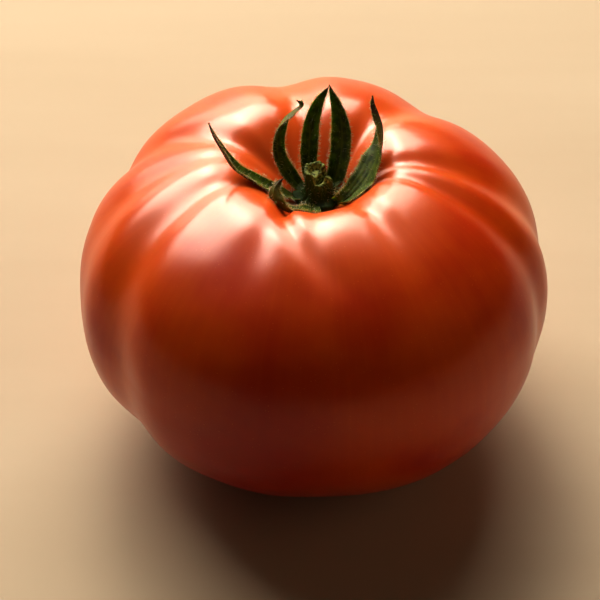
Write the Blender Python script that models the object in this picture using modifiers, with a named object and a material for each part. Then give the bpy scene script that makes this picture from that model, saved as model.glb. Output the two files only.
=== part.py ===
"""A ribbed slicing tomato with its green calyx and the stub of its stalk.

The fruit is one solid. It is a flattened globe whose shoulders are cut by ribs that run out from the
stalk hollow, and it rests on a small flat at its blossom end. Six sepals and the stalk stub stand in
the hollow. The origin is the centre of the flat that the fruit rests on, with +Z up the stalk.
Lengths are millimetres until the last step, where MM turns them into metres.
"""

import math

import bmesh
import bpy
import numpy as np
from mathutils import Vector

MM = 0.001

# Fruit: a superellipse turned about the stalk, with its own height and fullness above and below
BODY_RADIUS = 44.0
SHOULDER_RISE = 30.1
BASE_DROP = 33.3
SHOULDER_FULLNESS = 2.24
BASE_FULLNESS = 2.28
FULLNESS_BLEND = 0.35

# The blossom end is pressed flat, and the flat rolls into the side over a short soft edge
FLAT_CUT = 1.25
FLAT_SOFTNESS = 0.8

# Stalk hollow: deepest at the axis, and wider on the side that HOLLOW_LEAN names
HOLLOW_DEPTH = 12.4
HOLLOW_RADIUS = 11.2
HOLLOW_LEAN = 1.0
HOLLOW_LEAN_AZIMUTH = 160.0
HOLLOW_STEEPNESS = 2.4

# No tomato is round. Each row is waves in one turn, share of the radius, azimuth of the first crest
OUT_OF_ROUND = (
    (1, 0.036, 243.0),
    (2, 0.014, 102.0),
    (3, 0.010, 97.0),
    (4, 0.009, 17.0),
)

# Furrows between the ribs. Each row is azimuth at the shoulder, drift of the azimuth for each degree
# down the side, depth, half width in degrees, polar angle where it opens and where it runs out
FURROWS = (
    (255.0, 1.36, 2.2, 7.0, 12.0, 34.0),
    (243.0, 0.20, 0.6, 7.0, 14.0, 50.0),
    (268.0, 0.00, 0.5, 7.0, 20.0, 50.0),
    (304.0, 0.00, 1.2, 8.0, 14.0, 45.0),
    (346.0, -0.08, 1.4, 7.0, 26.0, 98.0),
    (1.5, 0.03, 1.5, 8.0, 26.0, 96.0),
    (52.0, 0.00, 1.8, 11.0, 16.0, 92.0),
    (102.0, 0.00, 2.4, 11.0, 16.0, 92.0),
    (152.5, 0.10, 2.1, 8.0, 36.0, 88.0),
    (159.0, 0.29, 1.0, 8.0, 32.0, 58.0),
    (172.0, 0.38, 1.0, 8.0, 38.0, 86.0),
    (198.0, 0.33, 1.9, 9.0, 40.0, 125.0),
    (275.0, 0.00, 0.9, 16.0, 75.0, 150.0),
)
FURROW_POLAR = 35.0
FURROW_FADE = 8.0
FRUIT_SEGMENTS = 72
FRUIT_RINGS = 38

# Gap that keeps neighbouring pieces apart
GAP = 0.3

# Stalk stub: a turned stump on a flared seat, snapped off above the calyx
STUB_RADIUS = 2.1
STUB_TOP = 58.0
SEAT_RADIUS = 3.8
SEAT_THICKNESS = 1.3
STUB_STEPS = 24

# Sepals: thin channelled blades, widest a third of the way out, each carried along its own spine
SEPAL_THICKNESS = 0.7
SEPAL_ALONG = 16
SEPAL_ACROSS = 4
SEPAL_TIP_SHARE = 0.12
SEPAL_BASE_PHASE = 0.28

# Each row is name, spine from the seat to the tip, width, channel depth as a share of the half width,
# and roll in degrees at the seat, which unwinds to nothing at the tip
SEPALS = (
    (
        "sepal_left",
        ((-4.8, -0.8, 51.6), (-8.4, -1.4, 54.2), (-12.2, -2.0, 57.3), (-15.2, -2.4, 60.4),
         (-17.1, -2.6, 64.4), (-18.5, -2.6, 67.6), (-19.4, -2.4, 70.6)),
        3.2, 0.45, 0.0,
    ),
    (
        "sepal_back_left",
        ((-3.8, 3.1, 51.4), (-6.2, 4.1, 54.4), (-7.5, 5.0, 57.6), (-7.4, 6.4, 60.6),
         (-6.1, 7.9, 62.8), (-4.3, 8.9, 64.1), (-3.1, 9.5, 65.0), (-3.9, 9.9, 65.9)),
        3.6, 0.35, 0.0,
    ),
    (
        "sepal_back",
        ((-1.3, 4.8, 51.3), (-1.7, 6.2, 54.4), (-1.6, 8.0, 57.1), (-1.2, 10.2, 60.0),
         (-0.3, 12.0, 62.5), (0.9, 13.3, 64.3), (1.9, 13.9, 65.9)),
        3.2, 0.30, 0.0,
    ),
    (
        "sepal_back_right",
        ((3.1, 3.9, 51.3), (4.0, 5.3, 54.6), (4.5, 7.2, 57.6), (4.4, 9.0, 60.7),
         (3.8, 10.4, 63.5), (3.0, 11.2, 65.9), (2.3, 11.5, 68.1)),
        4.2, 0.30, 0.0,
    ),
    (
        "sepal_right",
        ((4.7, -4.1, 52.7), (6.8, -3.1, 54.5), (9.0, -1.2, 56.6), (10.6, 1.2, 59.0),
         (11.4, 3.5, 61.2), (11.4, 5.4, 63.3), (10.7, 6.9, 65.1), (10.0, 8.0, 66.6), (9.8, 8.9, 67.7)),
        5.6, 0.45, 38.0,
    ),
    (
        "sepal_front_left",
        ((-0.4, -5.4, 52.3), (-2.5, -6.8, 53.6), (-4.5, -7.6, 54.4), (-6.4, -8.0, 55.5),
         (-7.6, -7.6, 57.0), (-7.9, -6.5, 58.2), (-7.2, -5.4, 59.0), (-6.2, -4.8, 59.8)),
        3.4, 0.35, 0.0,
    ),
)


def clear_scene():
    for obj in list(bpy.data.objects):
        bpy.data.objects.remove(obj, do_unlink=True)


def make_material(name, colour, roughness, metallic=0.0):
    material = bpy.data.materials.new(name)
    material.use_nodes = True
    shader = material.node_tree.nodes["Principled BSDF"]
    shader.inputs["Base Color"].default_value = (*colour, 1.0)
    shader.inputs["Roughness"].default_value = roughness
    shader.inputs["Metallic"].default_value = metallic
    return material


def add_object(name, mesh, material, collection):
    mesh.materials.append(material)
    mesh.shade_smooth()
    obj = bpy.data.objects.new(name, mesh)
    collection.objects.link(obj)
    return obj


def side_distance(polar):
    """Distance from the middle of the fruit to its plain turned outline, at a polar angle."""
    sine = abs(math.sin(polar))
    cosine = math.cos(polar)
    upper = 0.5 + 0.5 * math.tanh(cosine / FULLNESS_BLEND)
    fullness = BASE_FULLNESS + (SHOULDER_FULLNESS - BASE_FULLNESS) * upper
    height = SHOULDER_RISE if cosine >= 0 else BASE_DROP
    reach = (sine / BODY_RADIUS) ** fullness + abs(cosine / height) ** fullness
    return reach ** (-1.0 / fullness)


def furrow_depth(polar, azimuth):
    """Depth of all the furrows together: a bell across each one, opening and fading along it."""
    degrees = math.degrees(polar)
    depth = 0.0
    for angle, drift, deepest, half_width, opens, ends in FURROWS:
        middle = angle + drift * (min(degrees, 90.0) - FURROW_POLAR)
        across = (math.degrees(azimuth) - middle + 180.0) % 360.0 - 180.0
        bell = math.exp(-((across / half_width) ** 2))
        opening = 1.0 - math.exp(-((degrees / opens) ** 2))
        fading = 1.0 / (1.0 + math.exp((degrees - ends) / FURROW_FADE))
        depth += deepest * bell * opening * fading
    return depth


def press_flat(height):
    """Height above the resting plane, with what lies below it pressed flat over a soft edge."""
    if height > FLAT_SOFTNESS:
        return height
    if height < -FLAT_SOFTNESS:
        return 0.0
    return (height + FLAT_SOFTNESS) ** 2 / (4.0 * FLAT_SOFTNESS)


def skin_point(polar, azimuth):
    """Point of the skin: the turned outline, made uneven, furrowed, hollowed and pressed flat."""
    waves = 0.0
    for count, share, crest in OUT_OF_ROUND:
        waves += share * math.cos(count * (azimuth - math.radians(crest)))
    distance = side_distance(polar) * (1.0 + waves * math.sin(polar) ** 2)
    distance -= furrow_depth(polar, azimuth)
    radius = distance * math.sin(polar)
    height = distance * math.cos(polar)
    if height > 0:
        lean = math.cos(azimuth - math.radians(HOLLOW_LEAN_AZIMUTH))
        hollow_radius = HOLLOW_RADIUS + HOLLOW_LEAN * lean
        height -= HOLLOW_DEPTH * math.exp(-((radius / hollow_radius) ** HOLLOW_STEEPNESS))
    height = press_flat(height + BASE_DROP - FLAT_CUT)
    return Vector((radius * math.cos(azimuth), radius * math.sin(azimuth), height))


def skin_height(x, y):
    """Height of the upper skin above a point of the plan, found by halving the polar angle."""
    azimuth = math.atan2(y, x)
    radius = math.hypot(x, y)
    low = 0.0
    high = math.radians(80.0)
    for _ in range(30):
        middle = 0.5 * (low + high)
        point = skin_point(middle, azimuth)
        if math.hypot(point.x, point.y) < radius:
            low = middle
        else:
            high = middle
    return skin_point(low, azimuth).z


def build_fruit(collection):
    bm = bmesh.new()
    bmesh.ops.create_uvsphere(bm, u_segments=FRUIT_SEGMENTS, v_segments=FRUIT_RINGS, radius=1.0)
    for vert in bm.verts:
        polar = math.acos(max(-1.0, min(1.0, vert.co.z)))
        azimuth = math.atan2(vert.co.y, vert.co.x)
        vert.co = skin_point(polar, azimuth) * MM
    bmesh.ops.recalc_face_normals(bm, faces=bm.faces)
    mesh = bpy.data.meshes.new("tomato_fruit")
    bm.to_mesh(mesh)
    bm.free()
    material = make_material("ripe_skin", (0.58, 0.045, 0.012), 0.28)
    return add_object("tomato_fruit", mesh, material, collection)


def seat_height(radius):
    """Highest skin on a circle about the stalk, plus the gap: the underside of the seat."""
    circle = np.linspace(0.0, 2.0 * math.pi, 24, endpoint=False)
    return GAP + max(skin_height(radius * math.cos(a), radius * math.sin(a)) for a in circle)


def stub_profile():
    """Outline of the stub at +X, from the axis at the snapped top down to the axis below."""
    rim = seat_height(SEAT_RADIUS)
    shoulder = rim + SEAT_THICKNESS
    return (
        (0.0, STUB_TOP - 0.5),
        (0.6 * STUB_RADIUS, STUB_TOP - 0.3),
        (0.9 * STUB_RADIUS, STUB_TOP),
        (STUB_RADIUS, STUB_TOP - 0.5),
        (0.96 * STUB_RADIUS, STUB_TOP - 2.5),
        (1.05 * STUB_RADIUS, shoulder + 1.6),
        (1.35 * STUB_RADIUS, shoulder + 0.4),
        (0.9 * SEAT_RADIUS, shoulder - 0.2),
        (SEAT_RADIUS, rim + 0.5 * SEAT_THICKNESS),
        (0.95 * SEAT_RADIUS, rim + 0.1),
        (0.6 * SEAT_RADIUS, seat_height(0.6 * SEAT_RADIUS)),
        (0.25 * SEAT_RADIUS, seat_height(0.25 * SEAT_RADIUS)),
        (0.0, seat_height(0.1)),
    )


def build_stub(collection):
    points = [Vector((radius, 0.0, height)) * MM for radius, height in stub_profile()]
    edges = [(i, i + 1) for i in range(len(points) - 1)]
    mesh = bpy.data.meshes.new("stem_stub")
    mesh.from_pydata(points, edges, [])
    material = make_material("stalk_green", (0.10, 0.13, 0.025), 0.55)
    stub = add_object("stem_stub", mesh, material, collection)
    turn = stub.modifiers.new("turned", "SCREW")
    turn.steps = STUB_STEPS
    turn.render_steps = STUB_STEPS
    turn.use_merge_vertices = True
    turn.merge_threshold = 0.00001
    return stub


def along_spine(points, share):
    """Point at a share of the way along a smooth curve through the spine's points."""
    last = len(points) - 1
    place = min(share * last, last - 1e-6)
    index = int(place)
    t = place - index
    start = points[index]
    end = points[index + 1]
    before = points[index - 1] if index > 0 else start * 2.0 - end
    after = points[index + 2] if index + 2 <= last else end * 2.0 - start
    return 0.5 * (
        start * 2.0
        + (end - before) * t
        + (before * 2.0 - start * 5.0 + end * 4.0 - after) * t**2
        + (start * 3.0 - before - end * 3.0 + after) * t**3
    )


def blade_width(share, width):
    """Width of a blade: narrow at the seat, full a third of the way out, then tapering to the tip."""
    phase = SEPAL_BASE_PHASE + (1.0 - SEPAL_BASE_PHASE) * share
    return width * (SEPAL_TIP_SHARE + (1.0 - SEPAL_TIP_SHARE) * math.sin(math.pi * phase) ** 1.2)


def blade_point(spine, share, side, width, channel, roll):
    """Point of a blade's middle surface, at a share along it and from -1 to 1 across it."""
    middle = along_spine(spine, share)
    step = 0.02
    ahead = along_spine(spine, min(share + step, 1.0)) - along_spine(spine, max(share - step, 0.0))
    tangent = ahead.normalized()
    outward = Vector((spine[2].x, spine[2].y, 0.0)).normalized()
    across = Vector((0.0, 0.0, 1.0)).cross(outward)
    across = (across - tangent * across.dot(tangent)).normalized()
    inward = tangent.cross(across)
    angle = math.radians(roll) * (1.0 - share)
    sideways = across * math.cos(angle) + inward * math.sin(angle)
    face = inward * math.cos(angle) - across * math.sin(angle)
    half = 0.5 * blade_width(share, width)
    point = middle + sideways * (side * half) + face * (channel * half * side**2)
    lowest = skin_height(point.x, point.y) + GAP + 0.75 * SEPAL_THICKNESS
    point.z = max(point.z, lowest)
    return point


def build_sepal(name, spine, width, channel, roll, material, collection):
    spine = [Vector(point) for point in spine]
    bm = bmesh.new()
    bmesh.ops.create_grid(bm, x_segments=SEPAL_ALONG, y_segments=SEPAL_ACROSS, size=0.5)
    for vert in bm.verts:
        share = vert.co.x + 0.5
        side = 2.0 * vert.co.y
        vert.co = blade_point(spine, share, side, width, channel, roll) * MM
    mesh = bpy.data.meshes.new(name)
    bm.to_mesh(mesh)
    bm.free()
    sepal = add_object(name, mesh, material, collection)
    wall = sepal.modifiers.new("wall", "SOLIDIFY")
    wall.thickness = SEPAL_THICKNESS * MM
    wall.offset = 0.0
    return sepal


def main():
    clear_scene()
    collection = bpy.data.collections.new("tomato")
    bpy.context.scene.collection.children.link(collection)
    build_fruit(collection)
    build_stub(collection)
    green = make_material("sepal_green", (0.045, 0.085, 0.018), 0.5)
    for name, spine, width, channel, roll in SEPALS:
        build_sepal(name, spine, width, channel, roll, green, collection)


main()
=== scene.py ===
import math

import bpy
import numpy as np
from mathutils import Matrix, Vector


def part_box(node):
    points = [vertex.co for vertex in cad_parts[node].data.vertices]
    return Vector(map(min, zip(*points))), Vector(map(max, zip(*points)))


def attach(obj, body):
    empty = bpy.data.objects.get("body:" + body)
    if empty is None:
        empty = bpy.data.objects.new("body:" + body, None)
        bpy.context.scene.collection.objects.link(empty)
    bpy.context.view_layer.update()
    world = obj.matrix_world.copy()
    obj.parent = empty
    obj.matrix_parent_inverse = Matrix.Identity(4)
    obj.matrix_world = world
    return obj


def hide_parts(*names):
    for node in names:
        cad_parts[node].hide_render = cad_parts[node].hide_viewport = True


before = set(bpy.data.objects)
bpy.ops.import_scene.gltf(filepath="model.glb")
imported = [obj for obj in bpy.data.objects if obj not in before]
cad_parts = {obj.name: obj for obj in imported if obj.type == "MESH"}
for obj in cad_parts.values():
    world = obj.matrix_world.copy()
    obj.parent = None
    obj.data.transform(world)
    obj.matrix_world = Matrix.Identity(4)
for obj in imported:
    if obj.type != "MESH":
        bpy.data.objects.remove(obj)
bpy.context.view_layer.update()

mm = 0.001
rng = np.random.default_rng(23)
print("frame loaded:", ", ".join(sorted(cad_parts)))


class Socket:
    # One output socket of a node. Python's signs on sockets add the Math nodes that they stand for.
    def __init__(self, tree, link):
        self.tree = tree
        self.link = link

    def node(self, kind, settings, values, out=0):
        # Any node: its settings come first, then the values or the links of its sockets
        made = self.tree.nodes.new(kind)
        for name, value in settings.items():
            setattr(made, name, value)
        for name, value in values.items():
            if isinstance(value, Socket):
                self.tree.links.new(value.link, made.inputs[name])
            else:
                made.inputs[name].default_value = value
        return Socket(self.tree, made.outputs[out])

    def maths(self, operation, first, second=0.0):
        # One Math node on two numbers, which may be sockets
        return self.node("ShaderNodeMath", {"operation": operation}, {0: first, 1: second})

    def __add__(self, other):
        return self.maths("ADD", self, other)

    def __radd__(self, other):
        return self.maths("ADD", other, self)

    def __sub__(self, other):
        return self.maths("SUBTRACT", self, other)

    def __rsub__(self, other):
        return self.maths("SUBTRACT", other, self)

    def __mul__(self, other):
        return self.maths("MULTIPLY", self, other)

    def __rmul__(self, other):
        return self.maths("MULTIPLY", other, self)

    def parts(self):
        # The three numbers of a vector
        return [self.node("ShaderNodeSeparateXYZ", {}, {0: self}, axis) for axis in range(3)]

    def vector(self, operation, other=(0.0, 0.0, 0.0)):
        # One Vector Math node that gives a vector
        return self.node("ShaderNodeVectorMath", {"operation": operation}, {0: self, 1: other})

    def step(self, low, high):
        # Smooth step: 0 at low, 1 at high, and the other way about if low is the greater
        values = {"Value": self, "From Min": low, "From Max": high}
        return self.node("ShaderNodeMapRange", {"interpolation_type": "SMOOTHSTEP"}, values)

    def mix(self, first, second):
        # A colour that goes from first to second as this value goes from 0 to 1
        return self.node("ShaderNodeMix", {"data_type": "RGBA"}, {0: self, 6: first, 7: second}, 2)

    def noise(self, scale, detail=2.0):
        return self.node("ShaderNodeTexNoise", {}, {"Vector": self, "Scale": scale, "Detail": detail})

    def cells(self, scale):
        return self.node("ShaderNodeTexVoronoi", {}, {"Vector": self, "Scale": scale})

    def bump(self, strength, distance):
        # The tilt of the normal from this value taken as a height
        values = {"Strength": strength, "Distance": distance, "Height": self}
        return self.node("ShaderNodeBump", {}, values)


def newMaterial(name, constants):
    # A material, its shader with what is the same all over set on it, and a socket with the place in mm
    material = bpy.data.materials.new(name)
    material.use_nodes = True
    tree = material.node_tree
    shader = tree.nodes["Principled BSDF"]
    for socket, value in constants.items():
        shader.inputs[socket].default_value = value
    place = Socket(tree, tree.nodes.new("ShaderNodeTexCoord").outputs["Object"])
    place = place.node("ShaderNodeVectorMath", {"operation": "SCALE"}, {0: place, "Scale": 1.0 / mm})
    return material, shader, place


def feed(shader, links):
    # Links what changes over the surface into the shader
    for name, socket in links.items():
        socket.tree.links.new(socket.link, shader.inputs[name])


def marksOf(place):
    # The three numbers that makePiece stored at each point of the mesh
    return place.node("ShaderNodeAttribute", {"attribute_name": "marks"}, {}, "Vector").parts()


def shellFaces(rows, around):
    # Faces of a closed shell: a first point, rows of points that each close on themselves, a last point
    ring = np.arange(around)
    ahead = (ring + 1) % around
    start = 1 + around * np.arange(rows - 1)[:, None]
    quads = np.stack([start + ring, start + ahead, start + ahead + around, start + ring + around], -1)
    last = 1 + around * (rows - 1)
    end = np.full(around, 1 + around * rows)
    firstCap = np.stack([np.zeros(around, int), 1 + ahead, 1 + ring], -1)
    lastCap = np.stack([last + ring, last + ahead, end], -1)
    return quads.reshape(-1, 4), np.concatenate([firstCap, lastCap])


def enclosed(points, quads, triangles):
    # Six times the volume inside the faces, negative if they point inwards
    halves = np.concatenate([quads[:, [0, 1, 2]], quads[:, [0, 2, 3]], triangles])
    corners = points[halves]
    return np.einsum("ij,ij->", corners[:, 0], np.cross(corners[:, 1], corners[:, 2]))


def makePiece(name, points, quads, triangles, material, marks=None):
    # A smooth mesh in the frame's metres. Marks are vectors at its points, which its material reads
    if enclosed(points, quads, triangles) < 0:
        quads = quads[:, ::-1]
        triangles = triangles[:, ::-1]
    mesh = bpy.data.meshes.new(name)
    mesh.from_pydata((points * mm).tolist(), [], quads.tolist() + triangles.tolist())
    mesh.materials.append(material)
    mesh.shade_smooth()
    if marks is not None:
        stored = mesh.attributes.new("marks", "FLOAT_VECTOR", "POINT")
        stored.data.foreach_set("vector", marks.astype(np.float32).ravel())
    piece = bpy.data.objects.new(name, mesh)
    bpy.context.scene.collection.objects.link(piece)
    print("made", name, len(points), "points")
    return piece


def makeShell(name, rows, first, last, material, marks=None):
    # rows is rows x around x 3, first and last are the points that close the two ends
    count, around = rows.shape[:2]
    points = np.concatenate([first[None], rows.reshape(-1, 3), last[None]])
    quads, triangles = shellFaces(count, around)
    if marks is not None:
        flat = marks.reshape(-1, 3)
        marks = np.concatenate([flat[:1], flat, flat[-1:]])
    return makePiece(name, points, quads, triangles, material, marks)


def ripple(points, size, height, count, seed):
    # Soft lumps: the sum of waves that run in random directions, with lengths about size, over the
    # square root of their number
    draw = np.random.default_rng(seed)
    total = np.zeros(points.shape[:-1])
    for _ in range(count):
        direction = draw.normal(size=3)
        direction /= np.linalg.norm(direction)
        length = size * draw.uniform(0.7, 1.5)
        total += np.sin(points @ direction * (2.0 * np.pi / length) + draw.uniform(0.0, 2.0 * np.pi))
    return height * total / math.sqrt(count)


def unit(vectors):
    # Each vector over its own length
    return vectors / np.maximum(np.linalg.norm(vectors, axis=-1, keepdims=True), 1e-9)


def softStep(values, low, high):
    # With the share of the way from low to high, three of its squares less two of its cubes
    share = np.clip((values - low) / (high - low), 0.0, 1.0)
    return share * share * (3.0 - 2.0 * share)


fruit = {
    "bodyRadius": 44.0,
    "shoulderRise": 30.1,
    "baseDrop": 33.3,
    "shoulderFullness": 2.24,
    "baseFullness": 2.28,
    "fullnessBlend": 0.35,
    "flatCut": 1.25,  # how much of the blossom end is pressed flat
    "flatSoftness": 0.8,
    "hollowDepth": 12.4,
    "hollowRadius": 11.2,
    "hollowLean": 1.0,
    "hollowLeanAzimuth": 160.0,
    "hollowSteepness": 2.4,
    # waves in one turn, share of the radius, azimuth of the first crest
    "outOfRound": ((1, 0.036, 243.0), (2, 0.014, 102.0), (3, 0.010, 97.0), (4, 0.009, 17.0)),
    # azimuth at the shoulder, drift for each degree down the side, depth, half width in degrees,
    # polar angles where the furrow opens and where it runs out
    "furrows": (
        (255.0, 1.36, 2.2, 7.0, 12.0, 34.0),
        (243.0, 0.20, 0.6, 7.0, 14.0, 50.0),
        (268.0, 0.00, 0.5, 7.0, 20.0, 50.0),
        (304.0, 0.00, 1.2, 8.0, 14.0, 45.0),
        (346.0, -0.08, 1.4, 7.0, 26.0, 98.0),
        (1.5, 0.03, 1.5, 8.0, 26.0, 96.0),
        (52.0, 0.00, 1.8, 11.0, 16.0, 92.0),
        (102.0, 0.00, 2.4, 11.0, 16.0, 92.0),
        (152.5, 0.10, 2.1, 8.0, 36.0, 88.0),
        (159.0, 0.29, 1.0, 8.0, 32.0, 58.0),
        (172.0, 0.38, 1.0, 8.0, 38.0, 86.0),
        (198.0, 0.33, 1.9, 9.0, 40.0, 125.0),
        (275.0, 0.00, 0.9, 16.0, 75.0, 150.0),
    ),
    "furrowPolar": 35.0,
    "furrowFade": 8.0,
    "rows": 210,
    "around": 440,
    "rowGather": 0.055,  # how much the rows crowd towards the hollow and the blossom end
    "lumpSize": 9.0,
    "lumpHeight": 0.035,
    "creases": 34,
    "creaseDepth": 0.007,
    "creaseWidth": 3.6,  # degrees
    "creaseReach": (13.0, 21.0),  # polar angles, in degrees, by which creases run out
    "scarRadius": 2.1,
    "scarDepth": 0.5,
}


def sideDistance(polar):
    # Superellipse: (sine / radius) ^ fullness + (cosine / height) ^ fullness = 1, solved for distance
    cosine = np.cos(polar)
    upper = 0.5 + 0.5 * np.tanh(cosine / fruit["fullnessBlend"])
    fullness = fruit["baseFullness"] + (fruit["shoulderFullness"] - fruit["baseFullness"]) * upper
    height = np.where(cosine >= 0, fruit["shoulderRise"], fruit["baseDrop"])
    reach = (np.abs(np.sin(polar)) / fruit["bodyRadius"]) ** fullness + np.abs(cosine / height) ** fullness
    return reach ** (-1.0 / fullness)


def furrowDepth(polar, azimuth):
    # Sum over the furrows of depth times a bell across, times a soft opening and a soft end along
    degrees = np.degrees(polar)
    total = np.zeros(np.broadcast(polar, azimuth).shape)
    for angle, drift, deepest, halfWidth, opens, ends in fruit["furrows"]:
        middle = angle + drift * (np.minimum(degrees, 90.0) - fruit["furrowPolar"])
        across = (np.degrees(azimuth) - middle + 180.0) % 360.0 - 180.0
        bell = np.exp(-((across / halfWidth) ** 2))
        opening = 1.0 - np.exp(-((degrees / opens) ** 2))
        fading = 1.0 / (1.0 + np.exp((degrees - ends) / fruit["furrowFade"]))
        total += deepest * bell * opening * fading
    return total


def pressFlat(height):
    # Nothing below the table, and a parabola of the softness either side of it
    soft = fruit["flatSoftness"]
    rolled = (height + soft) ** 2 / (4.0 * soft)
    return np.where(height > soft, height, np.where(height < -soft, 0.0, rolled))


def skinPoints(polar, azimuth):
    # The turned outline times one plus its waves, less the furrows. Then the hollow, a steep bell
    # about the axis, is taken off the height, and the blossom end is pressed flat
    waves = 0.0
    for count, share, crest in fruit["outOfRound"]:
        waves = waves + share * np.cos(count * (azimuth - math.radians(crest)))
    distance = sideDistance(polar) * (1.0 + waves * np.sin(polar) ** 2) - furrowDepth(polar, azimuth)
    radius = distance * np.sin(polar)
    height = distance * np.cos(polar)
    lean = np.cos(azimuth - math.radians(fruit["hollowLeanAzimuth"]))
    hollowRadius = fruit["hollowRadius"] + fruit["hollowLean"] * lean
    hollow = fruit["hollowDepth"] * np.exp(-((radius / hollowRadius) ** fruit["hollowSteepness"]))
    height = np.where(height > 0, height - hollow, height)
    height = pressFlat(height + fruit["baseDrop"] - fruit["flatCut"])
    return np.stack([radius * np.cos(azimuth), radius * np.sin(azimuth), height], -1)


def skinHeight(x, y):
    # Height of the upper skin over a point of the plan, found by halving the polar angle
    azimuth = np.arctan2(y, x)
    radius = np.hypot(x, y)
    low = np.zeros_like(radius)
    high = np.full_like(radius, math.radians(80.0))
    for _ in range(26):
        middle = 0.5 * (low + high)
        point = skinPoints(middle, azimuth)
        inside = np.hypot(point[..., 0], point[..., 1]) < radius
        low = np.where(inside, middle, low)
        high = np.where(inside, high, middle)
    return skinPoints(low, azimuth)[..., 2]


def creaseDepth(polar, azimuth):
    # Fine creases that run down into the hollow: narrow bells across, and a bell along about its lip
    draw = np.random.default_rng(5)
    degrees = np.degrees(azimuth)
    total = np.zeros(np.broadcast(polar, azimuth).shape)
    for angle in np.linspace(0.0, 360.0, fruit["creases"], endpoint=False):
        middle = angle + draw.uniform(-4.0, 4.0)
        across = (degrees - middle + 180.0) % 360.0 - 180.0
        reach = math.radians(draw.uniform(*fruit["creaseReach"]))
        along = np.exp(-((polar / reach) ** 4))
        total += draw.uniform(0.3, 1.0) * np.exp(-((across / fruit["creaseWidth"]) ** 2)) * along
    return fruit["creaseDepth"] * total


def fruitRows():
    # The skin's grid, its polar angle pi times a share less a sine, so that the rows are closer together
    # at both ends. Lumps and creases move it outwards, and a bell with five arms dents the blossom end
    share = np.linspace(0.0, 1.0, fruit["rows"] + 2)[1:-1]
    polar = np.pi * (share - fruit["rowGather"] * np.sin(2.0 * np.pi * share))
    azimuth = np.linspace(0.0, 2.0 * np.pi, fruit["around"], endpoint=False)
    polar, azimuth = np.meshgrid(polar, azimuth, indexing="ij")
    points = skinPoints(polar, azimuth)
    outward = unit(points - np.array([0.0, 0.0, fruit["baseDrop"]]))
    lumps = ripple(points, fruit["lumpSize"], fruit["lumpHeight"], 14, 3) - creaseDepth(polar, azimuth)
    lifted = np.clip(points[..., 2:] / 2.0, 0.0, 1.0)  # the resting flat stays flat
    points = points + outward * lumps[..., None] * lifted
    radius = np.hypot(points[..., 0], points[..., 1])
    arms = 1.0 + 0.30 * np.cos(5.0 * azimuth + 0.6) + 0.12 * np.cos(11.0 * azimuth)
    scar = np.exp(-((radius / (fruit["scarRadius"] * arms)) ** 2)) * (polar > 2.0)
    points[..., 2] += fruit["scarDepth"] * scar
    deepest = max(furrow[2] for furrow in fruit["furrows"])
    marks = np.stack([furrowDepth(polar, azimuth) / deepest, scar, np.zeros_like(scar)], -1)
    return points, marks


skinLook = {
    "red": (0.46, 0.021, 0.001, 1.0),
    "deep": (0.330, 0.008, 0.001, 1.0),
    "orange": (0.65, 0.098, 0.002, 1.0),
    "shoulder": (0.78, 0.150, 0.022, 1.0),
    "fleck": (0.90, 0.300, 0.060, 1.0),
    "cork": (0.30, 0.120, 0.030, 1.0),
    # where the painted shade of deep red is centred, in mm, and how far it reaches
    "paintedShadeAt": (-14.0, -46.0, 19.0),
    "paintedShadeReach": 32.0,
    "bumpHeight": 0.05,
    "constants": {
        "IOR": 1.45,
        "Specular IOR Level": 0.32,
        "Subsurface Weight": 0.22,
        "Subsurface Radius": (1.0, 0.22, 0.08),
        "Subsurface Scale": 3.5 * mm,
        "Coat Roughness": 0.20,
        "Coat IOR": 1.5,
    },
}


def skinMaterial():
    # Colour: red to orange by soft mottles, by streaks that run from stalk to blossom end and in the
    # furrows, a deep red patch painted as shade on the low front-left side, orange on the shoulders,
    # then golden flecks, and cork at both scars
    look = skinLook
    material, shader, place = newMaterial("ripeSkin", look["constants"])
    z = place.parts()[2]
    plan = place.vector("MULTIPLY", (1.0, 1.0, 0.0))
    radius = plan.node("ShaderNodeVectorMath", {"operation": "LENGTH"}, {0: plan}, 1)
    spoke = plan.vector("NORMALIZE")
    streaks = spoke.noise(26.0, 3.0)
    mottles = place.noise(0.055, 3.0)
    furrow, scar, _ = marksOf(place)
    shoulders = radius.step(30.0, 9.0) * z.step(38.0, 52.0)
    orange = mottles.step(0.30, 0.64) * 0.60 + streaks.step(0.30, 0.75) * 0.12
    # Orange grows with height: partly the shoulders' own ripening colour, partly painted light that makes
    # the lit top lighter than the shaded lower side
    orange = orange + furrow * 0.25 + z.step(28.0, 48.0) * 0.22
    colour = orange.mix(look["red"], look["orange"])
    # Painted shade: deep red laid on the low front-left side, which faces away from the lights
    paintedShadeAt = {0: place, 1: look["paintedShadeAt"]}
    away = place.node("ShaderNodeVectorMath", {"operation": "DISTANCE"}, paintedShadeAt, 1)
    colour = (away.step(look["paintedShadeReach"], 8.0) * 0.8).mix(colour, look["deep"])
    colour = (shoulders * 0.75).mix(colour, look["shoulder"])
    fleckSize = place.cells(1.25).step(0.16, 0.05)
    flecks = fleckSize * place.noise(0.30, 2.0).step(0.45, 0.60) * z.step(2.0, 20.0)
    colour = (flecks * 0.35).mix(colour, look["fleck"])
    cork = radius.step(5.6, 3.2) * z.step(40.0, 46.0) + scar.step(0.25, 0.60)
    cork = cork * (place.noise(1.6, 3.0) * 0.5 + 0.6)
    colour = cork.mix(colour, look["cork"])
    fine = place.noise(1.3, 2.0)
    roughness = 0.27 + mottles * 0.04 + fine * 0.03 + cork * 0.3
    height = fine * 0.4 + place.noise(0.22, 2.0) * 1.4 + cork * place.noise(2.4, 4.0) * 3.0
    coat = 0.14 - cork * 0.14 + mottles * 0.1
    normal = height.bump(0.35, look["bumpHeight"] * mm)
    feed(shader, {"Base Color": colour, "Roughness": roughness, "Coat Weight": coat, "Normal": normal})
    return material


def makeFruit():
    rows, marks = fruitRows()
    return makeShell("tomatoFruit", rows, rows[0].mean(0), rows[-1].mean(0), skinMaterial(), marks)


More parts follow.
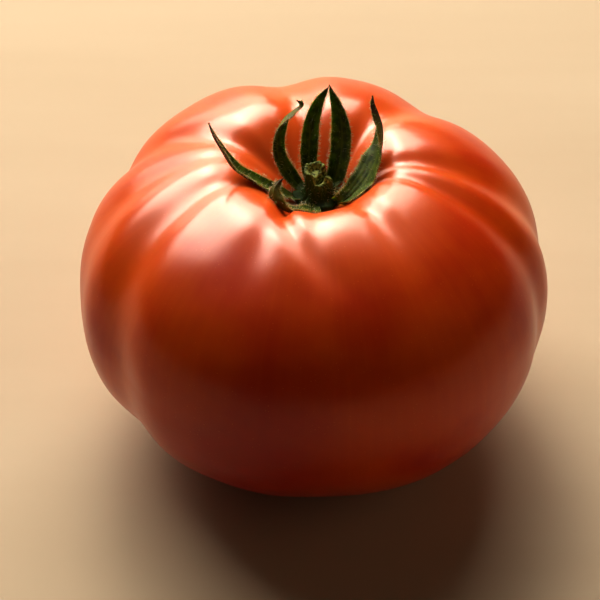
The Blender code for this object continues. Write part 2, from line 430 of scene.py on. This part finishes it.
stub = {
    "radius": 2.1,
    "top": 58.0,
    "seatRadius": 4.3,
    "seatThickness": 1.2,
    "gap": 0.25,
    "ribs": 5,
    "ribHeight": 0.10,
    "lowSide": -38.0,  # azimuth of the side that broke off lower
    "lowDrop": 2.1,
    "rimDrop": 0.35,
    "cupDepth": 1.15,
    "nubAt": (1.75, -0.65),
    "nubSize": (0.75, 0.60),
    "nubHeight": 1.1,
    "toothHeights": ((5.0, 0.13, 1.0), (11.0, 0.07, 0.0), (23.0, 0.03, 0.0)),  # teeth, height, phase
    "knobAzimuth": 342.0,
    "knobHeight": 0.55,
    "knobWidth": 0.42,  # radians
    "flareSteepness": 6.5,
    "rimSwell": 0.12,
    "bend": (-0.5, 0.3),  # how far the top leans over
    "around": 132,
    "wallRows": 46,
    "topRows": 22,
}


def brokenTop(x, y):
    # Height of the snapped face: a cup inside a standing rim, a step down to the low side, a nub on
    # that step, and torn fibres
    along = x * math.cos(math.radians(stub["lowSide"])) + y * math.sin(math.radians(stub["lowSide"]))
    radius = np.hypot(x, y) / stub["radius"]
    azimuth = np.arctan2(y, x)
    teeth = sum(high * np.sin(count * azimuth + phase) for count, high, phase in stub["toothHeights"])
    cup = -stub["cupDepth"] * (1.0 - softStep(radius, 0.45, 0.86))
    step = -stub["lowDrop"] * softStep(along, 0.35, 0.95)
    fromNub = ((x - stub["nubAt"][0]) / stub["nubSize"][0], (y - stub["nubAt"][1]) / stub["nubSize"][1])
    nub = stub["nubHeight"] * np.exp(-(fromNub[0] ** 2 + fromNub[1] ** 2))
    flat = np.stack([x, y, np.zeros_like(x)], -1)
    fibres = ripple(flat, 0.7, 0.07, 12, 8)
    return stub["top"] - stub["rimDrop"] + cup + step + nub + teeth * softStep(radius, 0.55, 1.0) + fibres


def stubRows():
    # A seat that flares over the hollow, a ribbed wall up to the broken rim, then the broken face. The
    # wall's radius is the rim's plus the rest of the seat's times a decaying exponential of the share up
    turn = np.linspace(0.0, 2.0 * np.pi, stub["around"], endpoint=False)
    cosine = np.cos(turn)
    sine = np.sin(turn)
    lobes = 1.0 + 0.10 * np.cos(6.0 * turn + 0.5) + 0.05 * np.cos(3.0 * turn + 2.0)
    seatRadius = stub["seatRadius"] * lobes
    under = []
    for share in (0.12, 0.3, 0.5, 0.7, 0.88, 0.97):
        x = share * seatRadius * cosine
        y = share * seatRadius * sine
        under.append(np.stack([x, y, skinHeight(x, y) + stub["gap"]], -1))
    rim = skinHeight(seatRadius * cosine, seatRadius * sine) + stub["gap"]
    edge = np.stack([seatRadius * cosine, seatRadius * sine, rim + 0.35 * stub["seatThickness"]], -1)
    ridge = stub["ribs"] * turn + 0.4
    rib = stub["ribHeight"] * (np.cos(ridge) + 0.45 * np.cos(3.0 * ridge))
    fromKnob = 1.0 - np.cos(turn - math.radians(stub["knobAzimuth"]))
    knob = stub["knobHeight"] * np.exp(-fromKnob * 2.0 / stub["knobWidth"] ** 2)
    topRadius = stub["radius"] * 1.02 + rib + knob
    topHeight = brokenTop(topRadius * cosine, topRadius * sine)
    wall = []
    for share in np.linspace(0.0, 1.0, stub["wallRows"]):
        flare = math.exp(-stub["flareSteepness"] * share)
        swell = stub["rimSwell"] * math.exp(-(((share - 0.93) / 0.06) ** 2))
        radius = topRadius + (seatRadius * 0.97 - topRadius) * flare + swell
        foot = rim + stub["seatThickness"] * 0.75
        height = foot + (topHeight - foot) * share ** 1.15
        scratch = 0.05 * np.sin(17.0 * turn + 5.0 * share) * share + 0.03 * np.sin(29.0 * turn) * share
        wall.append(np.stack([(radius + scratch) * cosine, (radius + scratch) * sine, height], -1))
    face = []
    for share in np.linspace(0.93, 0.04, stub["topRows"]):
        x = topRadius * share * cosine
        y = topRadius * share * sine
        face.append(np.stack([x, y, brokenTop(x, y)], -1))
    rows = np.stack(under + [edge] + wall + face)
    bend = softStep(rows[..., 2], 52.0, 60.0)
    rows[..., 0] += stub["bend"][0] * bend
    rows[..., 1] += stub["bend"][1] * bend
    wallStart = len(under) + 1
    faceStart = wallStart + len(wall)
    torn = np.zeros(rows.shape[:2])
    torn[faceStart:] = 1.0
    torn[faceStart - 1] = 0.7
    upward = np.zeros(rows.shape[:2])
    upward[wallStart:faceStart] = np.linspace(0.0, 1.0, len(wall))[:, None]
    upward[faceStart:] = 1.0
    return rows, np.stack([torn, upward, np.zeros_like(torn)], -1)


stubLook = {
    "dark": (0.020, 0.050, 0.005, 1.0),
    "green": (0.075, 0.150, 0.014, 1.0),
    "pale": (0.290, 0.350, 0.090, 1.0),
    "brown": (0.050, 0.066, 0.010, 1.0),
    "constants": {
        "Specular IOR Level": 0.08,
        "Subsurface Weight": 0.12,
        "Subsurface Radius": (0.6, 1.0, 0.2),
        "Subsurface Scale": 0.8 * mm,
    },
}


def stubMaterial():
    # Streaks run up the wall, because the noise is squeezed across it, and the torn face is paler
    look = stubLook
    material, shader, place = newMaterial("stalkGreen", look["constants"])
    torn, upward, _ = marksOf(place)
    streaks = place.vector("MULTIPLY", (3.2, 3.2, 0.35)).noise(1.0, 3.0)
    blotches = place.noise(0.7, 3.0)
    colour = (streaks * 0.7 + upward * 0.35).step(0.25, 0.85).mix(look["dark"], look["green"])
    colour = (blotches.step(0.58, 0.75) * 0.3).mix(colour, look["brown"])
    pith = place.noise(2.2, 4.0)
    tornColour = pith.step(0.37, 0.60).mix(look["brown"], look["pale"])
    colour = torn.mix(colour, tornColour)
    roughness = 0.52 - torn * 0.14 + streaks * 0.1
    height = streaks * 1.2 + place.noise(3.0, 3.0) * 0.5 + torn * pith * 1.2
    feed(shader, {"Base Color": colour, "Roughness": roughness, "Normal": height.bump(0.6, 0.12 * mm)})
    return material


def makeStub():
    rows, marks = stubRows()
    return makeShell("stemStub", rows, rows[0].mean(0), rows[-1].mean(0), stubMaterial(), marks)


sepal = {
    "along": 150,
    "around": 40,
    "thickness": 0.62,
    "tipShare": 0.12,
    "basePhase": 0.28,
    "clearance": 0.2,
    "rootReach": 1.7,  # how far the foot of a blade runs back into the seat
    "veins": 7,
    "veinHeight": 0.035,
    "midribHeight": 0.20,
    "midribWidth": 0.13,  # share of the half width
    "notchDepth": 0.012,  # share of the half width
    "rowGather": 1.15,  # above 1 crowds the rows towards the tip
    "footRows": 4,
}

# Each blade's name, its spine from the seat to the tip, its width, its channel's depth as a share of the
# half width, its roll at the seat in degrees, the height of the waves in its margins as a share of the
# half width, and the share of its length that has withered
blades = (
    {
        "name": "sepal_left",
        "spine": ((-4.8, -0.8, 51.6), (-8.4, -1.4, 54.2), (-12.2, -2.0, 57.3), (-15.2, -2.4, 60.4),
                  (-17.1, -2.6, 64.4), (-18.5, -2.6, 67.6), (-19.4, -2.4, 70.6)),
        "width": 3.2, "channel": 0.45, "roll": 0.0, "wave": 0.12, "withered": 0.34,
    },
    {
        "name": "sepal_back_left",
        "spine": ((-3.8, 3.1, 51.4), (-6.2, 4.1, 54.4), (-7.5, 5.0, 57.6), (-7.4, 6.4, 60.6),
                  (-6.1, 7.9, 62.8), (-4.3, 8.9, 64.1), (-3.1, 9.5, 65.0), (-3.9, 9.9, 65.9)),
        "width": 3.6, "channel": 0.35, "roll": 0.0, "wave": 0.10, "withered": 0.20,
    },
    {
        "name": "sepal_back",
        "spine": ((-1.3, 4.8, 51.3), (-1.7, 6.2, 54.4), (-1.6, 8.0, 57.1), (-1.2, 10.2, 60.0),
                  (-0.3, 12.0, 62.5), (0.9, 13.3, 64.3), (2.1, 13.9, 65.9)),
        "width": 3.2, "channel": 0.30, "roll": 0.0, "wave": 0.08, "withered": 0.14,
    },
    {
        "name": "sepal_back_right",
        "spine": ((3.1, 3.9, 51.3), (4.0, 5.3, 54.6), (4.5, 7.2, 57.6), (4.4, 9.0, 60.7),
                  (3.8, 10.4, 63.5), (2.9, 11.2, 65.9), (2.0, 11.5, 68.1)),
        "width": 4.2, "channel": 0.30, "roll": 0.0, "wave": 0.08, "withered": 0.12,
    },
    {
        "name": "sepal_right",
        "spine": ((4.7, -4.1, 52.7), (6.8, -3.1, 54.5), (9.0, -1.2, 56.6), (10.6, 1.2, 59.0),
                  (11.4, 3.5, 61.2), (11.4, 5.4, 63.3), (10.7, 6.9, 65.1), (10.0, 8.0, 66.6),
                  (9.8, 8.9, 67.7)),
        "width": 5.6, "channel": 0.45, "roll": 38.0, "wave": 0.10, "withered": 0.36,
    },
    {
        "name": "sepal_front_left",
        "spine": ((-0.4, -5.4, 52.3), (-2.5, -6.8, 53.6), (-4.5, -7.6, 54.4), (-6.4, -8.0, 55.5),
                  (-7.6, -7.6, 57.0), (-7.9, -6.5, 58.2), (-7.2, -5.4, 59.0), (-6.2, -4.8, 59.8)),
        "width": 3.4, "channel": 0.35, "roll": 0.0, "wave": 0.14, "withered": 0.22,
    },
)


def alongSpine(points, share):
    # Catmull-Rom: each stretch is a cubic through its two points, level with their neighbours
    count = len(points) - 1
    place = np.clip(share, 0.0, 1.0) * count
    index = np.minimum(place.astype(int), count - 1)
    t = (place - index)[..., None]
    padded = np.concatenate([[2.0 * points[0] - points[1]], points, [2.0 * points[-1] - points[-2]]])
    before, start, end, after = (padded[index + shift] for shift in range(4))
    return 0.5 * (
        2.0 * start
        + (end - before) * t
        + (2.0 * before - 5.0 * start + 4.0 * end - after) * t**2
        + (3.0 * start - before - 3.0 * end + after) * t**3
    )


def bladeHalfWidth(share, blade):
    # A sine that is full a third of the way out, closed to a point over the last of the length
    phase = sepal["basePhase"] + (1.0 - sepal["basePhase"]) * share
    sine = np.maximum(np.sin(np.pi * phase), 0.0)
    body = sepal["tipShare"] + (1.0 - sepal["tipShare"]) * sine ** 1.2
    point = 1.0 - softStep(share, 0.90, 1.0) * 0.85
    return 0.5 * blade["width"] * body * point


def bladeMiddle(share, side, blade):
    # The spine, plus side times the half width across it, plus a channel that rises with the square
    # of side, a crease along the midrib, and waves that grow towards the margins
    spine = blade["path"]
    middle = alongSpine(spine, share)
    tangent = unit(alongSpine(spine, share + 0.02) - alongSpine(spine, share - 0.02))
    outward = blade["outward"]
    across = np.cross(np.array([0.0, 0.0, 1.0]), outward) * np.ones_like(tangent)
    across = unit(across - tangent * (across * tangent).sum(-1, keepdims=True))
    inward = np.cross(tangent, across)
    angle = math.radians(blade["roll"]) * (1.0 - share)[..., None]
    sideways = across * np.cos(angle) + inward * np.sin(angle)
    face = inward * np.cos(angle) - across * np.sin(angle)
    half = bladeHalfWidth(share, blade)
    wobble = np.sin(share * 17.0 + blade["seed"] + 1.6 * np.sign(side))
    wobble = wobble + 0.6 * np.sin(share * 31.0 + 2.0 * side)
    channel = blade["channel"] * (0.7 * side**2 + 0.3 * np.abs(side))
    lift = channel + blade["wave"] * wobble * side**2 * (1.0 - share)
    notch = np.sin(share * 57.0 + 3.0 * blade["seed"] + side) * np.abs(side)
    notch = 1.0 + sepal["notchDepth"] * notch
    point = middle + sideways * (side * half * notch)[..., None] + face * (lift * half)[..., None]
    lowest = skinHeight(point[..., 0], point[..., 1]) + sepal["clearance"] + 0.5 * sepal["thickness"]
    point[..., 2] = np.maximum(point[..., 2], lowest)
    return point


def bladeSurface(share, turn, blade):
    # Side is the cosine of turn. The wall stands off the middle surface by its sine times a thickness
    # that is greatest at the midrib and thins to the margins and to the tip
    side = np.cos(turn)
    middle = bladeMiddle(share, side, blade)
    over = bladeMiddle(share, np.clip(side + 0.04, -1.0, 1.0), blade)
    under = bladeMiddle(share, np.clip(side - 0.04, -1.0, 1.0), blade)
    ahead = bladeMiddle(np.clip(share + 0.01, 0.0, 1.0), side, blade)
    behind = bladeMiddle(np.clip(share - 0.01, 0.0, 1.0), side, blade)
    normal = unit(np.cross(ahead - behind, over - under))
    sine = np.sin(turn)
    thin = (0.62 + 0.38 * np.exp(-((side / 0.3) ** 2))) * (1.0 - 0.55 * share)
    offset = 0.5 * sepal["thickness"] * np.sign(sine) * np.abs(sine) ** 0.55 * thin
    outer = sine < 0
    midrib = np.exp(-((side / sepal["midribWidth"]) ** 2)) * (1.0 - share) ** 0.7
    offset = offset + np.where(outer, -1.0, -0.55) * sepal["midribHeight"] * midrib
    veins = np.cos(side * np.pi * sepal["veins"]) * (1.0 - side**2) * (1.0 - share)
    offset = offset + sepal["veinHeight"] * veins
    return middle + normal * offset[..., None], normal * np.sign(sine)[..., None]


def bladeRows(blade):
    # The blade's grid: shares of the length that crowd towards the tip, and turns round the section that
    # crowd towards the margins
    share = 1.0 - (1.0 - np.linspace(0.0, 1.0, sepal["along"])) ** sepal["rowGather"]
    share = share * 0.998  # the last row stops just short of the point
    turn = np.linspace(0.0, 2.0 * np.pi, sepal["around"], endpoint=False)
    turn = turn + 0.22 * np.sin(2.0 * turn)
    share, turn = np.meshgrid(share, turn, indexing="ij")
    rows, _ = bladeSurface(share, turn, blade)
    return rows, np.stack([share, np.cos(turn), np.sin(turn)], -1)


bladeLook = {
    "dark": (0.032, 0.058, 0.003, 1.0),
    "green": (0.095, 0.150, 0.006, 1.0),
    "vein": (0.125, 0.200, 0.014, 1.0),
    "outer": (0.125, 0.120, 0.012, 1.0),
    "paintedRimLight": (0.480, 0.340, 0.080, 1.0),
    "withered": (0.050, 0.020, 0.008, 1.0),
    "constants": {
        "Specular IOR Level": 0.14,
        "Subsurface Weight": 0.40,
        "Subsurface Radius": (0.6, 1.0, 0.12),
        "Subsurface Scale": 0.9 * mm,
        "Sheen Weight": 0.03,
        "Sheen Roughness": 0.35,
        "Sheen Tint": (0.85, 0.95, 0.65, 1.0),
    },
}


def bladeMaterial(blade):
    # Marks hold the share along the blade, the side from -1 to 1, and the sine of the turn, which is
    # above 0 on the inner face. Green is mottled, veined, with a painted golden rim light along the margins,
    # brown at the tip
    look = bladeLook
    material, shader, place = newMaterial(blade["name"] + "_green", look["constants"])
    share, side, sine = marksOf(place)
    offSide = side.maths("ABSOLUTE", side)
    inner = sine.step(-0.1, 0.1)
    mottles = place.noise(0.75, 3.0)
    grain = place.noise(4.5, 2.0)
    colour = mottles.step(0.36, 0.66).mix(look["dark"], look["green"])
    midrib = offSide.step(0.22, 0.03) * share.step(0.95, 0.35)
    wave = side.maths("COSINE", side * (math.pi * sepal["veins"]))
    veins = (wave * 0.5 + 0.5) * share.step(0.9, 0.3) * 0.14
    outer = (1.0 - inner) * 0.75
    colour = outer.mix(colour, look["outer"])
    colour = (midrib * 0.55 + veins).mix(colour, look["vein"])
    # Painted rim light: a golden edge along the margins, where light from behind would catch them
    colour = (offSide.step(0.86, 1.0) * 0.7 * mottles.step(0.3, 0.6)).mix(colour, look["paintedRimLight"])
    brownFrom = 1.0 - blade["withered"]
    brown = (share + mottles * 0.16 - 0.08).step(brownFrom - 0.10, brownFrom + 0.16)
    colour = brown.mix(colour, look["withered"])
    roughness = 0.50 + grain * 0.12 - brown * 0.05
    height = grain * 0.5 + wave * 0.3 + place.noise(1.6, 3.0) * 0.8
    feed(shader, {"Base Color": colour, "Roughness": roughness, "Normal": height.bump(0.55, 0.08 * mm)})
    return material


def prepareBlade(blade, number):
    # Works out where a blade's foot lies in the seat, which way it points, and a seed for its waves
    path = np.array(blade["spine"])
    inward = -unit(path[0] * np.array([1.0, 1.0, 0.0]))
    foot = path[0] + inward * sepal["rootReach"] + np.array([0.0, 0.0, -0.1])
    blade["path"] = path
    blade["outward"] = unit(path[2] * np.array([1.0, 1.0, 0.0]))
    blade["foot"] = foot
    blade["seed"] = 1.7 * number


def makeBlade(blade):
    # The first ring is drawn back to the foot inside the seat, so that the blade grows out of it
    rows, marks = bladeRows(blade)
    back = (blade["foot"] - rows[0].mean(0))[None, None]
    share = np.linspace(1.0, 0.25, sepal["footRows"])[:, None, None]
    middle = rows[0].mean(0)
    foot = middle + (rows[:1] - middle) * (1.0 - 0.35 * share) + back * share
    rows = np.concatenate([foot, rows])
    marks = np.concatenate([np.repeat(marks[:1], sepal["footRows"], axis=0), marks])
    end = rows[-1].mean(0)
    tip = end + (end - rows[-3].mean(0)) * 0.4
    return makeShell(blade["name"] + "_blade", rows, rows[0].mean(0), tip, bladeMaterial(blade), marks)


hair = {
    "faceCount": 150,
    "marginCount": 520,
    "stubCount": 150,
    "shortest": 0.30,
    "longest": 1.05,
    "radius": 0.032,
    "lean": 0.45,
    "rings": ((-0.06, 1.0), (0.5, 0.6)),  # share of the length, share of the radius
}


def hairMesh(name, base, direction, length, material):
    # Each hair is a three-sided spike: a ring in the skin, a thinner one half way up and a point,
    # with the upper half bent over
    count = len(base)
    helper = unit(np.cross(direction, np.array([0.37, 0.62, 0.69])))
    other = np.cross(direction, helper)
    sideways = helper * rng.normal(size=(count, 1)) + other * rng.normal(size=(count, 1))
    curl = unit(direction + hair["lean"] * sideways)
    rings = []
    for share, width in hair["rings"]:
        for corner in range(3):
            angle = corner * 2.0 * math.pi / 3.0
            spoke = (helper * math.cos(angle) + other * math.sin(angle)) * hair["radius"] * width
            rings.append(base + direction * (length * share)[:, None] + spoke)
    tip = base + direction * (length * 0.5)[:, None] + curl * (length * 0.5)[:, None]
    points = np.stack(rings + [tip], 1).reshape(-1, 3)
    start = 7 * np.arange(count)[:, None]
    corner = np.arange(3)
    ahead = (corner + 1) % 3
    quads = np.stack([start + corner, start + ahead, start + ahead + 3, start + corner + 3], -1)
    tops = np.stack([start + corner + 3, start + ahead + 3, start + 6 + 0 * corner], -1)
    bottoms = start + np.array([2, 1, 0])
    triangles = np.concatenate([tops.reshape(-1, 3), bottoms])
    return makePiece(name, points, quads.reshape(-1, 4), triangles, material)


hairLook = {
    "pale": (0.80, 0.80, 0.55, 1.0),
    "green": (0.42, 0.52, 0.18, 1.0),
    "constants": {"Specular IOR Level": 0.5, "Subsurface Weight": 0.3, "Subsurface Scale": 0.2 * mm},
}


def hairMaterial():
    # Green to pale by a soft noise
    look = hairLook
    material, shader, place = newMaterial("hairs", look["constants"])
    tone = place.noise(0.9, 2.0)
    colour = tone.step(0.35, 0.65).mix(look["green"], look["pale"])
    feed(shader, {"Base Color": colour, "Roughness": 0.35 + tone * 0.2})
    return material


def bladeHairs(blade, material):
    # Most hairs stand along the margins, the others all over both faces, fewer on the withered tip
    faceCount = hair["faceCount"]
    marginCount = hair["marginCount"]
    share = np.concatenate([rng.beta(1.2, 1.8, faceCount), rng.uniform(0.0, 0.93, marginCount)])
    faceTurn = rng.uniform(0.0, 2.0 * np.pi, faceCount)
    marginTurn = rng.normal(0.0, 0.28, marginCount) + np.pi * rng.integers(0, 2, marginCount)
    turn = np.concatenate([faceTurn, marginTurn])
    base, normal = bladeSurface(share, turn, blade)
    middle = bladeMiddle(share, np.zeros_like(share), blade)
    edgeward = unit(base - middle)
    weight = np.abs(np.cos(turn))[:, None] ** 4
    direction = unit(normal * (1.0 - 0.75 * weight) + edgeward * weight + 0.22 * rng.normal(size=base.shape))
    length = rng.uniform(hair["shortest"], hair["longest"], len(share)) * (1.0 - 0.45 * share)
    return hairMesh(blade["name"] + "_hairs", base, direction, length, material)


def stubHairs(rows, material):
    # Points of the wall picked at random, with hairs that stand straight out of it
    count = hair["stubCount"]
    wall = rows[8:6 + stub["wallRows"]]  # without the seat below it and the torn rim
    row = rng.integers(3, len(wall), count)
    column = rng.integers(0, stub["around"], count)
    base = wall[row, column]
    direction = unit(base * np.array([1.0, 1.0, 0.0]))
    direction = unit(direction + 0.3 * rng.normal(size=direction.shape) + np.array([0.0, 0.0, 0.15]))
    length = rng.uniform(hair["shortest"], hair["longest"], count) * 0.8
    return hairMesh("stemStub_hairs", base, direction, length, material)


def settle(piece, slot, *nodes):
    # Every piece rides on the one body and stands in for its own node
    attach(piece, "root")
    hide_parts(*nodes)


settle(makeFruit(), "fruit_skin", "tomato_fruit")
settle(makeStub(), "stalk", "stem_stub")
hairsGreen = hairMaterial()
settle(stubHairs(stubRows()[0], hairsGreen), "stalk", "stem_stub")
for number, blade in enumerate(blades):
    prepareBlade(blade, number)
    settle(makeBlade(blade), "sepal_leaf", blade["name"])
    settle(bladeHairs(blade, hairsGreen), "sepal_leaf", blade["name"])


table = {
    "size": 3.2,  # metres
    "steps": 24,
    "pale": (0.560, 0.490, 0.385, 1.0),
    "deep": (0.530, 0.457, 0.352, 1.0),
}


def makeTable():
    # A level sheet under the fruit, a square grid of points at height nought
    steps = np.linspace(-0.5, 0.5, table["steps"]) * table["size"] / mm
    x, y = np.meshgrid(steps, steps)
    points = np.stack([x, y, np.zeros_like(x)], -1).reshape(-1, 3)
    count = table["steps"]
    start = (np.arange(count - 1)[:, None] * count + np.arange(count - 1)).ravel()
    quads = np.stack([start, start + 1, start + count + 1, start + count], -1)
    material, shader, place = newMaterial("paleTable", {"Specular IOR Level": 0.02})
    tone = place.vector("MULTIPLY", (0.004, 0.03, 0.03)).noise(1.0, 4.0)
    colour = tone.step(0.3, 0.7).mix(table["deep"], table["pale"])
    feed(shader, {"Base Color": colour, "Roughness": 0.5 + tone * 0.15})
    mesh = bpy.data.meshes.new("table")
    mesh.from_pydata((points * mm).tolist(), [], quads.tolist())
    mesh.materials.append(material)
    floor = bpy.data.objects.new("table", mesh)
    bpy.context.scene.collection.objects.link(floor)
    return floor


# Each light's name, the azimuth and elevation it comes from, its distance, width and height in metres,
# its watts and its colour
lights = (
    ("windowLeft", 118.0, 46.0, 1.05, 0.78, 0.78, 13.0, (1.0, 0.88, 0.73)),
    ("windowRight", 86.0, 45.0, 1.05, 0.68, 0.78, 9.0, (1.0, 0.88, 0.73)),
    ("windowLow", 108.0, 13.0, 1.10, 0.85, 0.36, 6.0, (1.0, 0.86, 0.70)),
    ("sheenLeft", 128.0, 46.0, 1.06, 0.80, 0.76, 30.0, (1.0, 0.92, 0.82)),
    ("sheenRight", 86.0, 43.0, 1.06, 0.66, 0.74, 13.0, (1.0, 0.92, 0.82)),
    ("fillRight", 345.0, 30.0, 1.50, 1.20, 1.00, 2.6, (1.0, 0.68, 0.42)),
    ("fillFront", 262.0, 30.0, 1.60, 1.20, 1.00, 0.4, (1.0, 0.62, 0.38)),
)


def makeLight(name, azimuth, elevation, distance, width, height, watts, colour, aim):
    # A panel turned towards aim. Fills don't show in the gloss, and sheens show nowhere else
    lamp = bpy.data.lights.new(name, "AREA")
    lamp.shape = "RECTANGLE"
    lamp.size = width
    lamp.size_y = height
    lamp.energy = watts
    lamp.color = colour
    light = bpy.data.objects.new(name, lamp)
    bpy.context.scene.collection.objects.link(light)
    flat = math.cos(math.radians(elevation))
    away = (math.cos(math.radians(azimuth)) * flat, math.sin(math.radians(azimuth)) * flat,
            math.sin(math.radians(elevation)))
    light.location = [aim[i] + distance * away[i] for i in range(3)]
    light.rotation_euler = (math.radians(90.0 - elevation), 0.0, math.radians(azimuth + 90.0))
    light.visible_camera = False
    light.visible_glossy = not name.startswith("fill")
    light.visible_diffuse = not name.startswith("sheen")
    return light


room = {
    "colour": (1.0, 0.66, 0.42, 1.0),
    "strength": 0.03,
    "gamma": 0.8,
    "exposure": 0.02,
}


def makeRoom():
    world = bpy.data.worlds.new("room")
    world.use_nodes = True
    background = world.node_tree.nodes["Background"]
    background.inputs["Color"].default_value = room["colour"]
    background.inputs["Strength"].default_value = room["strength"]
    bpy.context.scene.world = world
    screen = bpy.context.scene.view_settings
    screen.view_transform = "Standard"
    screen.gamma = room["gamma"]
    screen.exposure = room["exposure"]


view = {
    "elevation": 43.0,
    "distance": 0.52,  # metres
    "lens": 166.5,
    "aimOffset": (-2.5, -1.3, -2.5),  # from the middle of the fruit
}


def makeCamera():
    # Looks along +Y and down, at a point near the middle of the fruit
    low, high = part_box("tomato_fruit")
    aim = [(low[i] + high[i]) / 2.0 + view["aimOffset"][i] * mm for i in range(3)]
    tilt = math.radians(view["elevation"])
    camera = bpy.data.objects.new("camera", bpy.data.cameras.new("camera"))
    camera.data.lens = view["lens"]
    camera.data.sensor_width = 36.0
    camera.data.clip_start = 0.01
    reach = view["distance"]
    camera.location = (aim[0], aim[1] - reach * math.cos(tilt), aim[2] + reach * math.sin(tilt))
    camera.rotation_euler = (math.radians(90.0) - tilt, 0.0, 0.0)
    bpy.context.scene.collection.objects.link(camera)
    bpy.context.scene.camera = camera
    return aim


makeTable()
aim = makeCamera()
for row in lights:
    makeLight(*row, aim)
makeRoom()
print("table, lights and camera are in")
